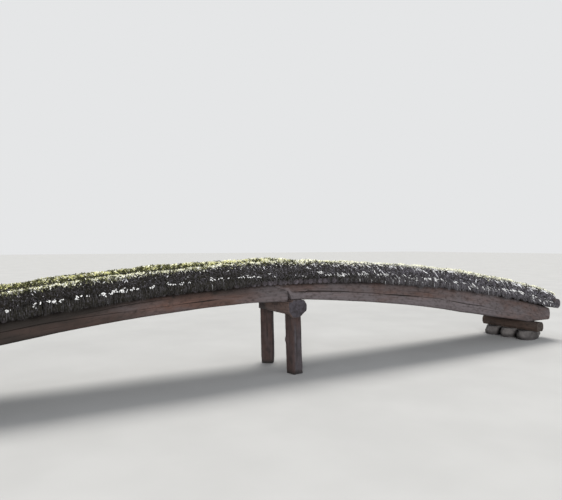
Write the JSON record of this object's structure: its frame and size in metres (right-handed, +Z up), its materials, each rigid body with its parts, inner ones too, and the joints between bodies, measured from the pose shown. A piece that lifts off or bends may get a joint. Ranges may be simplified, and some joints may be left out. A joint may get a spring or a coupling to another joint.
{
  "type": "low-arched garden log bridge",
  "caption": "Low-arched garden bridge: an earth walkway with turf kerbs on a floor of round logs, carried by curved hewn girders scarfed over one two-post pier.",
  "frame": {"origin": "the middle of the pier, on the level of the post feet and the beds of the bank stones", "axes": "+X along the bridge towards the deeper girders, +Y across it from the near post to the far post, +Z up"},
  "size_m": [16.2, 1.86, 2.189],
  "materials": {
    "post_wood": "matte",
    "cap_wood": "matte",
    "girder_wood": "matte",
    "floor_wood": "matte",
    "sill_wood": "matte",
    "earth": "matte",
    "turf": "matte",
    "stone": "matte"
  },
  "bodies": {
    "root": {"near_post": "post_wood", "far_post": "post_wood", "cap_log": "cap_wood", "near_left_girder": "girder_wood", "near_right_girder": "girder_wood", "far_left_girder": "girder_wood", "far_right_girder": "girder_wood", "earth_1": "earth", "earth_2": "earth", "earth_3": "earth", "earth_4": "earth", "earth_5": "earth", "earth_6": "earth", "earth_7": "earth", "earth_8": "earth", "floor_logs_1": "floor_wood", "floor_logs_2": "floor_wood", "floor_logs_3": "floor_wood", "floor_logs_4": "floor_wood", "floor_logs_5": "floor_wood", "floor_logs_6": "floor_wood", "floor_logs_7": "floor_wood", "floor_logs_8": "floor_wood", "left_end_log": "floor_wood", "right_end_log": "floor_wood", "near_turf_1": "turf", "near_turf_2": "turf", "near_turf_3": "turf", "near_turf_4": "turf", "far_turf_1": "turf", "far_turf_2": "turf", "far_turf_3": "turf", "far_turf_4": "turf", "near_left_end_turf": "turf", "near_right_end_turf": "turf", "far_left_end_turf": "turf", "far_right_end_turf": "turf", "left_sill_log": "sill_wood", "right_sill_log": "sill_wood", "left_near_stone": "stone", "left_middle_stone": "stone", "left_far_stone": "stone", "right_near_stone": "stone", "right_middle_stone": "stone", "right_far_stone": "stone"}
  },
  "joints": []
}
